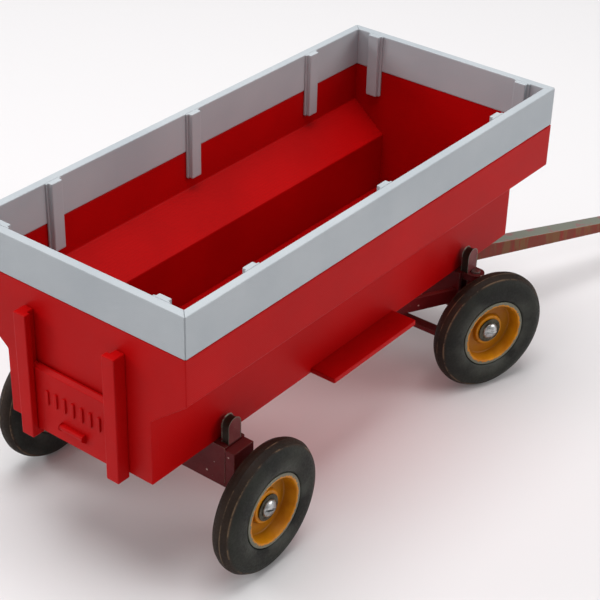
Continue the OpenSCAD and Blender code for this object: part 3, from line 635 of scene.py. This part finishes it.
def extensionBoard(side, alongSide):
    # A board whose plan is mitred at both ends: the outer edge is full length, and the inner edge
    # is shorter by the board's thickness at each end.
    look = boards
    low, high = sizes(f"board_{side}")
    if alongSide:
        outer = high[1] if side == "left" else low[1]
        inner = low[1] if side == "left" else high[1]
        thick = high[1] - low[1]
        plan = [[low[0], outer], [low[0] + thick, inner], [high[0] - thick, inner],
                [high[0], outer]]
    else:
        outer = high[0] if side == "front" else low[0]
        inner = low[0] if side == "front" else high[0]
        thick = high[0] - low[0]
        plan = [[outer, low[1]], [outer, high[1]], [inner, high[1] - thick],
                [inner, low[1] + thick]]
    plan = np.array(plan)
    radii = np.array([look["mitreEdge"], look["innerEdge"], look["innerEdge"], look["mitreEdge"]])
    if not alongSide:
        radii = np.roll(radii, 1)
    nextOne = np.roll(plan, -1, 0)
    if np.sum(plan[:, 0] * nextOne[:, 1] - nextOne[:, 0] * plan[:, 1]) < 0:
        plan, radii = plan[::-1], radii[::-1]  # counter-clockwise, by the sign of its area
    grid = prism(plan, radii, (low[2], high[2]), (look["lowEdge"], look["topEdge"]), alongZ)
    fit(meshOf(f"board{side.title()}", [grid]), f"board_{side}", greyPlastic)


for side, alongSide in (("left", True), ("right", True), ("front", False), ("rear", False)):
    extensionBoard(side, alongSide)

strap = {"width": 3.7 * mm, "padWidth": 5 * mm, "padThickness": 0.5 * mm, "corner": 0.35 * mm,
         "padCorner": 0.12 * mm, "topEdge": 0.25 * mm, "lowEdge": 0.45 * mm, "inner": 0.1 * mm,
         "atBoard": 0.02 * mm}


def strapGrid(root, inward, depth, low, high):
    # A thick strap on a thin wider pad, standing against a board at root and facing inward.
    look = strap
    half, wide, thin = look["width"] / 2, look["padWidth"] / 2, look["padThickness"]
    plan = [[-wide, 0], [wide, 0], [wide, thin], [half, thin], [half, depth], [-half, depth],
            [-half, thin], [-wide, thin]]
    radii = [look["atBoard"], look["atBoard"], look["padCorner"], look["inner"], look["corner"],
             look["corner"], look["inner"], look["padCorner"]]
    axes = [[inward[1], -inward[0], 0], [*inward, 0], [0, 0, 1]]
    grid = prism(plan, radii, (low, high), (look["lowEdge"], look["topEdge"]), axes)
    return grid + [*root, 0]


def strapPiece(node, name, inward, places):
    # One node's straps, each at its place along the board they stand against.
    low, high = sizes(node)
    axis = abs(inward[1])
    root = high if inward[axis] < 0 else low
    depth = (high - low)[axis]
    grids = []
    for place in places:
        spot = [root[0], root[1]]
        spot[1 - axis] = place
        grids.append(strapGrid(spot, inward, depth, low[2], high[2]))
    fit(meshOf(name, grids), node, greyPlastic)


for side, inward in (("left", (0, -1)), ("right", (0, 1))):
    for spot in ("rear", "middle", "front"):
        node = f"strap_{side}_{spot}"
        low, high = sizes(node)
        strapPiece(node, f"strap{side.title()}{spot.title()}", inward, [(low[0] + high[0]) / 2])
for side, inward in (("front", (-1, 0)), ("rear", (1, 0))):
    low, high = sizes(f"straps_{side}")
    reach = high[1] - strap["padWidth"] / 2
    strapPiece(f"straps_{side}", f"straps{side.title()}", inward, [-reach, reach])
print("extension boards and straps made")


# Flat stakes with a round top, drawn clockwise, so that each face stands out by the rim's width.
stake = {"rim": 0.35 * mm, "foot": 0.05 * mm}
for end in ("rear", "front"):
    for side in ("left", "right"):
        node = f"{end}_stake_{side}"
        low, high = sizes(node)
        crown = (high[0] - low[0]) / 2
        corners = rectangle((low[0], low[2]), (high[0], high[2]))[::-1]
        grid = prism(corners, [crown, crown, stake["foot"], stake["foot"]], (low[1], high[1]),
                     (stake["rim"], stake["rim"]), alongY, steps=12)
        fit(meshOf(f"{end}Stake{side.title()}", [grid]), node, fadedEnamel)

gearCopies = {
    "rear_bolster": ("rearBolster", 0.25), "front_bolster": ("frontBolster", 0.25),
    "rear_bracket_left": ("rearBracketLeft", 0.25),
    "rear_bracket_right": ("rearBracketRight", 0.25),
    "reach_pole": ("reachPole", 0.3), "hound_left": ("houndLeft", 0.2),
    "hound_right": ("houndRight", 0.2), "hound_plate": ("houndPlate", 0.15),
    "knuckle_left": ("knuckleLeft", 0.15), "knuckle_right": ("knuckleRight", 0.15),
    "tie_rod": ("tieRod", 0.2), "drawbar_head": ("drawbarHead", 0.2),
}
for node, (name, width) in gearCopies.items():
    fit(eased(node, name, width * mm), node, maroonEnamel)
steelCopies = {
    "reach_pin": "reachPin", "hound_bolt": "houndBolt", "box_screws": "boxScrews",
    "kingpins": "kingpinPair", "center_pin": "centerPin", "tie_rod_rivets": "tieRodRivets",
    "drawbar_pin": "drawbarPin",
}
steelEdge = 0.12 * mm
for node, name in steelCopies.items():
    fit(eased(node, name, steelEdge), node, pinSteel)
print("running gear made")


drawbar = {"width": 4.6 * mm, "depth": 5.8 * mm, "tipDepth": 2.7 * mm, "pitch": 6.1,
           "eye": 1.5 * mm, "ring": 3.6 * mm, "corner": 0.5 * mm, "bore": 1.15 * mm,
           "cutReach": 6 * mm}


def drawbarPiece():
    # A bar along its own X from the hinge to the hitch eye. Its half width is the bar's, or the
    # ring's circle near the eye, whichever is more; its underside rises to the thin tip; and its
    # hinge end is a half circle seen from the side.
    look = drawbar
    hinge = joints["drawbar_pitch"]
    origin = np.array(hinge["pos_m"])
    left = -np.array(hinge["axis"])
    flat = np.cross(left, [0, 0, 1])
    pitch = math.radians(look["pitch"])
    ahead = flat * math.cos(pitch) - np.array([0, 0, 1]) * math.sin(pitch)
    up = flat * math.sin(pitch) + np.array([0, 0, 1]) * math.cos(pitch)
    mount = next(m for m in frame["record"]["mounts"] if m["name"] == "hitch_eye")
    eyeX = float((np.array(mount["pos_m"]) - origin) @ ahead)
    top, ring = look["depth"] / 2, look["ring"]
    turn = np.linspace(0, np.pi / 2, 13)
    neck = eyeX - math.sqrt(ring ** 2 - (look["width"] / 2) ** 2)
    wide = np.linspace(math.asin(look["width"] / 2 / ring), np.pi, 28)
    x = np.concatenate([-top * np.cos(turn), np.linspace(0, neck, 60)[1:-1],
                        eyeX - ring * np.cos(wide)])
    circle = np.sqrt(np.maximum(ring ** 2 - (x - eyeX) ** 2, 0))
    halfWidth = np.where(x > eyeX, circle, np.maximum(look["width"] / 2, circle))
    rise = np.clip(x / eyeX, 0, 1) * (look["depth"] - look["tipDepth"])
    cap = np.sqrt(np.maximum(top ** 2 - np.minimum(x, 0) ** 2, 0))
    high, low = cap, np.where(x < 0, -cap, rise - top)
    middle, halfHeight = (high + low) / 2, (high - low) / 2
    corner = np.minimum(np.minimum(look["corner"], halfWidth), halfHeight)[:, None]
    quarter = np.linspace(0, np.pi / 2, 5)
    angle = np.concatenate([quarter + k * np.pi / 2 for k in range(4)])
    signY, signZ = np.repeat([1, -1, -1, 1], 5), np.repeat([1, 1, -1, -1], 5)
    y = signY * (halfWidth[:, None] - corner) + corner * np.cos(angle)
    z = middle[:, None] + signZ * (halfHeight[:, None] - corner) + corner * np.sin(angle)
    grid = origin + x[:, None, None] * ahead + y[..., None] * left + z[..., None] * up
    piece = meshOf("drawbarBeam", [grid])
    around = np.linspace(0, 2 * np.pi, 48, endpoint=False)
    around = np.stack([np.cos(around), np.sin(around)], -1)
    for centre, radius, axes in (
            (origin + eyeX * ahead, look["eye"], [ahead, left, up]),
            (origin, look["bore"], [ahead, up, left])):
        ends = [np.insert(around * radius, 2, height, axis=1)
                for height in (-look["cutReach"], look["cutReach"])]
        piece = cut(piece, meshOf("cutter", [np.array(ends) @ np.array(axes) + centre]))
    fit(piece, "drawbar", drawbarEnamel)


drawbarPiece()
print("drawbar made")


tyre = {"sectionPower": 2.15, "middle": 0.9 * mm, "ridges": (-0.62, 0.18, 0.66),
        "ridge": 0.16 * mm, "ridgeWidth": 0.035, "treadEnd": 0.7, "treadFade": 0.12,
        "footAt": 2.72 * mm, "wallPower": 0.75, "dustyWidth": 4 * mm, "gap": 0.28 * mm,
        "seatPlay": 0.03 * mm, "spare": 0.01 * mm}


def tyreGrid(centre, outboard, radius, width, lipRadius, lipAt):
    # Section: a superellipse over the crown, radius = middle + rise * (1 - |share|^p)^(1/p), where
    # the share is the place across the width, with thin ridges that are bell curves of the share.
    # Below the widest place each wall curves in to the bead, which stands clear of the rim's lip.
    look = tyre
    half, power = width / 2 - look["spare"], look["sectionPower"]
    radius = radius - look["spare"]
    middle = (radius + lipRadius) / 2 - look["middle"]
    share = np.sin(np.linspace(-np.pi / 2, np.pi / 2, 170))
    r = middle + (radius - middle) * (1 - np.abs(share) ** power) ** (1 / power)
    bell = sum(np.exp(-((share - place) / look["ridgeWidth"]) ** 2) for place in look["ridges"])
    r = np.minimum(r + look["ridge"] * bell, radius)
    inside = np.clip((look["treadEnd"] - np.abs(share)) / look["treadFade"] + 0.5, 0, 1)
    foot = lipRadius + look["gap"]
    t = np.linspace(0, np.pi / 2, 16)[1:]
    wallR = middle - (middle - foot) * np.sin(t)
    wallU = look["footAt"] + (half - look["footAt"]) * np.cos(t) ** look["wallPower"]
    seat = lipRadius - wheel["seat"] + look["seatPlay"]
    shelf = lipAt - wheel["lipThickness"] - look["seatPlay"]
    wall = np.concatenate([np.stack([wallR, wallU], -1), [[foot, shelf], [seat, shelf]]])
    profile = np.concatenate([
        np.stack([r, share * half], -1), wall, wall[::-1] * [1, -1]])
    rest = (0, 2 * len(wall))
    nearRim = np.clip(1 - (profile[:, 0] - foot) / look["dustyWidth"], 0, 1)
    return revolved(profile, centre, outboard, 160), {
        "ridge": np.pad(bell, rest), "tread": np.pad(inside, rest), "nearRim": nearRim}


# The last three sizes place the painted shade low in the dish.
wheel = {"seat": 1.1 * mm, "lipThickness": 0.5 * mm, "rimWidth": 1.35 * mm,
         "dishRadius": 8.15 * mm, "dishFloor": -0.6 * mm, "dishBack": -1.9 * mm,
         "boss": 4.6 * mm, "bossTop": 0.7 * mm, "bossDraft": 0.1 * mm, "hub": 3.2 * mm,
         "hubBack": -2.45 * mm, "bore": 1.55 * mm, "bareWidth": 1.15 * mm,
         "shadeHeight": 0.9 * mm, "shadeAtWall": 1.1 * mm, "shadeAtBoss": 0.7 * mm}


def wheelGrid(centre, outboard, lipRadius, lipAt):
    # Rim, dish and hub in one closed section, with a raised round boss in the dish. The lip's mark
    # is 1 on the faces of the lip, and the painted shade's mark is a bell curve of the distance to
    # each corner of the dish, down on its floor, where shade falls in the dish.
    look = wheel
    seat, inner = lipRadius - look["seat"], lipAt - look["lipThickness"]
    lipIn = lipRadius - look["rimWidth"]
    corners = [
        [look["bore"], look["hubBack"]], [look["hub"], look["hubBack"]],
        [look["hub"], look["dishBack"]], [look["dishRadius"], look["dishBack"]],
        [lipIn, -lipAt], [lipRadius, -lipAt], [lipRadius, -inner], [seat, -inner], [seat, inner],
        [lipRadius, inner], [lipRadius, lipAt], [lipIn, lipAt],
        [look["dishRadius"], look["dishFloor"]],
        [look["boss"] + look["bossDraft"], look["dishFloor"]],
        [look["boss"] - look["bossDraft"], look["bossTop"]], [look["bore"], look["bossTop"]]]
    radii = np.array([0.1, 0.2, 0.3, 0.5, 0.3, 0.15, 0.15, 0.05, 0.05, 0.15, 0.2, 0.35, 0.4, 0.35,
                      0.45, 0.15]) * mm
    profile = outline(corners, radii, steps=6)
    r, u = profile.T
    lip = np.clip((r - lipRadius) / look["bareWidth"] + 1.3, 0, 1)
    lip = lip * np.clip((np.abs(u) - inner) / (0.1 * mm), 0, 1)
    # Painted shade: darker low in the dish, near its wall and near the boss.
    low = np.clip(1.2 - (u - look["dishFloor"]) / look["shadeHeight"], 0, 1)
    nearWall = np.exp(-((r - look["dishRadius"]) / look["shadeAtWall"]) ** 2)
    nearBoss = np.exp(-((r - look["boss"]) / look["shadeAtBoss"]) ** 2)
    dishShade = np.maximum(nearWall, nearBoss) * low
    return revolved(profile, centre, outboard, 144), {"lip": lip, "dishShade": dishShade}


washer = {"bore": 1.53 * mm, "low": 0.8 * mm, "thickness": 0.4 * mm, "edge": 0.12 * mm}


def washerGrid(centre, outboard, radius):
    # A rectangle with rounded corners turned about the axle.
    look = washer
    corners = rectangle((look["bore"], look["low"]), (radius, look["low"] + look["thickness"]))
    return revolved(outline(corners, look["edge"]), centre, outboard, 72)


screw = {"shank": 1.5 * mm, "headBase": 1.2 * mm, "headHeight": 1.3 * mm, "slot": 0.6 * mm,
         "slotDepth": 0.65 * mm, "slotCorner": 0.02 * mm, "rearEnd": -8.8 * mm,
         "frontEnd": -4.7 * mm, "leftTurn": 0.9, "rightTurn": 0.25}


def screwGrid(centre, outboard, headRadius, end):
    # A shank and a domed head: radius = head * cos a, height = base + rise * sin a.
    look = screw
    a = np.linspace(0, np.pi / 2, 14)
    dome = np.stack([headRadius * np.cos(a), look["headBase"] + look["headHeight"] * np.sin(a)], -1)
    shank = [[0, end], [look["shank"], end], [look["shank"], look["headBase"]]]
    return revolved(np.concatenate([shank, dome]), centre, outboard, 72)


def slotCutter(centre, outboard, headRadius, turn):
    # A thin block across the top of the head, turned about the axle.
    look = screw
    up, outboard = np.array([0, 0, 1.0]), np.array(outboard)
    forward = np.cross(outboard, up)
    along = math.cos(turn) * forward + math.sin(turn) * up
    across = np.cross(outboard, along)
    half, reach = look["slot"] / 2, headRadius * 1.2
    top = look["headBase"] + look["headHeight"]
    block = prism(rectangle((-reach, -half), (reach, half)), look["slotCorner"],
                  (top - look["slotDepth"], top + 1 * mm), (0, 0), [along, across, outboard])
    return meshOf("cutter", [block + centre])


def wheels():
    # Each wheel is placed by its joint, whose axis points left. The rear screws and washers are on
    # the cart and share a node, and the front ones are on the knuckles with a node each.
    _, width, height = extent("tyre_rear_left")
    _, rimWidth, rimHeight = extent("wheel_rear_left")
    radius, lipRadius, lipAt = height / 2, rimHeight / 2, rimWidth / 2
    headRadius = extent("wheel_screws_rear")[2] / 2
    washerRadius = extent("wheel_washers_rear")[2] / 2
    rearScrews, rearWashers, rearSlots = [], [], []
    for end in ("rear", "front"):
        for side, sign in (("left", 1), ("right", -1)):
            joint = joints[f"wheel_{end}_{side}_spin"]
            centre, outboard = np.array(joint["pos_m"]), sign * np.array(joint["axis"])
            tag = f"{end.title()}{side.title()}"
            grid, marks = tyreGrid(centre, outboard, radius, width, lipRadius, lipAt)
            fit(meshOf(f"tyre{tag}", [grid], wrapRows=True, marks=marks), f"tyre_{end}_{side}",
                rubber)
            grid, marks = wheelGrid(centre, outboard, lipRadius, lipAt)
            fit(meshOf(f"wheel{tag}", [grid], wrapRows=True, marks=marks), f"wheel_{end}_{side}",
                yellow)
            ring = washerGrid(centre, outboard, washerRadius)
            head = screwGrid(centre, outboard, headRadius, screw[f"{end}End"])
            slot = (centre, outboard, headRadius, screw[f"{side}Turn"])
            if end == "rear":
                rearScrews.append(head)
                rearWashers.append(ring)
                rearSlots.append(slot)
            else:
                piece = meshOf(f"wheelScrew{tag}", [head], wrapRows=True, wrapColumns=False)
                fit(cut(piece, slotCutter(*slot)), f"wheel_screw_{side}", screwSteel)
                fit(meshOf(f"washer{tag}", [ring], wrapRows=True), f"wheel_washer_{side}",
                    washerSteel)
    piece = meshOf("wheelScrewsRear", rearScrews, wrapRows=True, wrapColumns=False)
    for slot in rearSlots:
        piece = cut(piece, slotCutter(*slot))
    fit(piece, "wheel_screws_rear", screwSteel)
    fit(meshOf("washersRear", rearWashers, wrapRows=True), "wheel_washers_rear", washerSteel)


wheels()
print("wheels made")


stage = {"floorSize": 6.0, "floor": "#d4d2d3", "roughness": 0.7, "specular": 0.2,
         "world": "#ffffff", "worldStrength": 0.39}
lamps = {
    "overhead": {"at": (-0.05, 0.05, 0.95), "size": 0.8, "watts": 9.0},
    "leftKey": {"at": (-0.75, 1.05, 0.62), "size": 0.5, "watts": 6.6},
    "rearFill": {"at": (-1.0, 0.2, 0.6), "size": 0.8, "watts": 1.0},
    "rightFill": {"at": (0.55, -1.0, 0.55), "size": 0.7, "watts": 5.2},
    "redBounce": {"at": (-0.03, 0.0, 0.031), "size": 0.09, "watts": 0.007, "colour": "#ff6a66"},
}
view = {"at": (-0.33299, -0.2295, 0.2717), "turn": (57.8805, -1.3849, -51.8804), "lens": 97.13,
        "sensor": 36.0}


def makeStage():
    # A wide pale floor under an even white sky.
    half = stage["floorSize"] / 2
    mesh = bpy.data.meshes.new("floor")
    corners = [(x, y, 0) for x, y in rectangle((-half, -half), (half, half))]
    mesh.from_pydata(corners, [], [(0, 1, 2, 3)])
    floor = bpy.data.objects.new("floor", mesh)
    bpy.context.scene.collection.objects.link(floor)
    material, _, shader, _ = blank("paleStudioFloor", stage["specular"])
    shader.inputs["Base Color"].default_value = linear(stage["floor"])
    shader.inputs["Roughness"].default_value = stage["roughness"]
    mesh.materials.append(material)
    world = bpy.data.worlds.new("studio")
    world.use_nodes = True
    bpy.context.scene.world = world
    sky = world.node_tree.nodes["Background"]
    sky.inputs["Color"].default_value = linear(stage["world"])
    sky.inputs["Strength"].default_value = stage["worldStrength"]


def makeLamp(name, look):
    # An area lamp that points at the cart, or straight down where it hangs below the top of it, as
    # the red light off the box's underside does.
    data = bpy.data.lights.new(name, "AREA")
    data.shape = "DISK"
    data.size = look["size"]
    data.energy = look["watts"]
    data.color = linear(look.get("colour", "#ffffff"))[:3]
    lamp = bpy.data.objects.new(name, data)
    bpy.context.scene.collection.objects.link(lamp)
    lamp.location = look["at"]
    lamp.visible_camera = False
    if look["at"][2] > cadBounds[1][2]:
        away = Vector(look["at"]) - (cadBounds[0] + cadBounds[1]) / 2
        lamp.rotation_euler = away.to_track_quat("Z", "Y").to_euler()


makeStage()
for name, look in lamps.items():
    makeLamp(name, look)
camera = bpy.data.objects.new("camera", bpy.data.cameras.new("camera"))
camera.data.lens = view["lens"]
camera.data.sensor_width = view["sensor"]
camera.location = view["at"]
camera.rotation_euler = [math.radians(a) for a in view["turn"]]
bpy.context.scene.collection.objects.link(camera)
bpy.context.scene.camera = camera
bpy.context.scene.view_settings.view_transform = "Standard"
print("stage set")
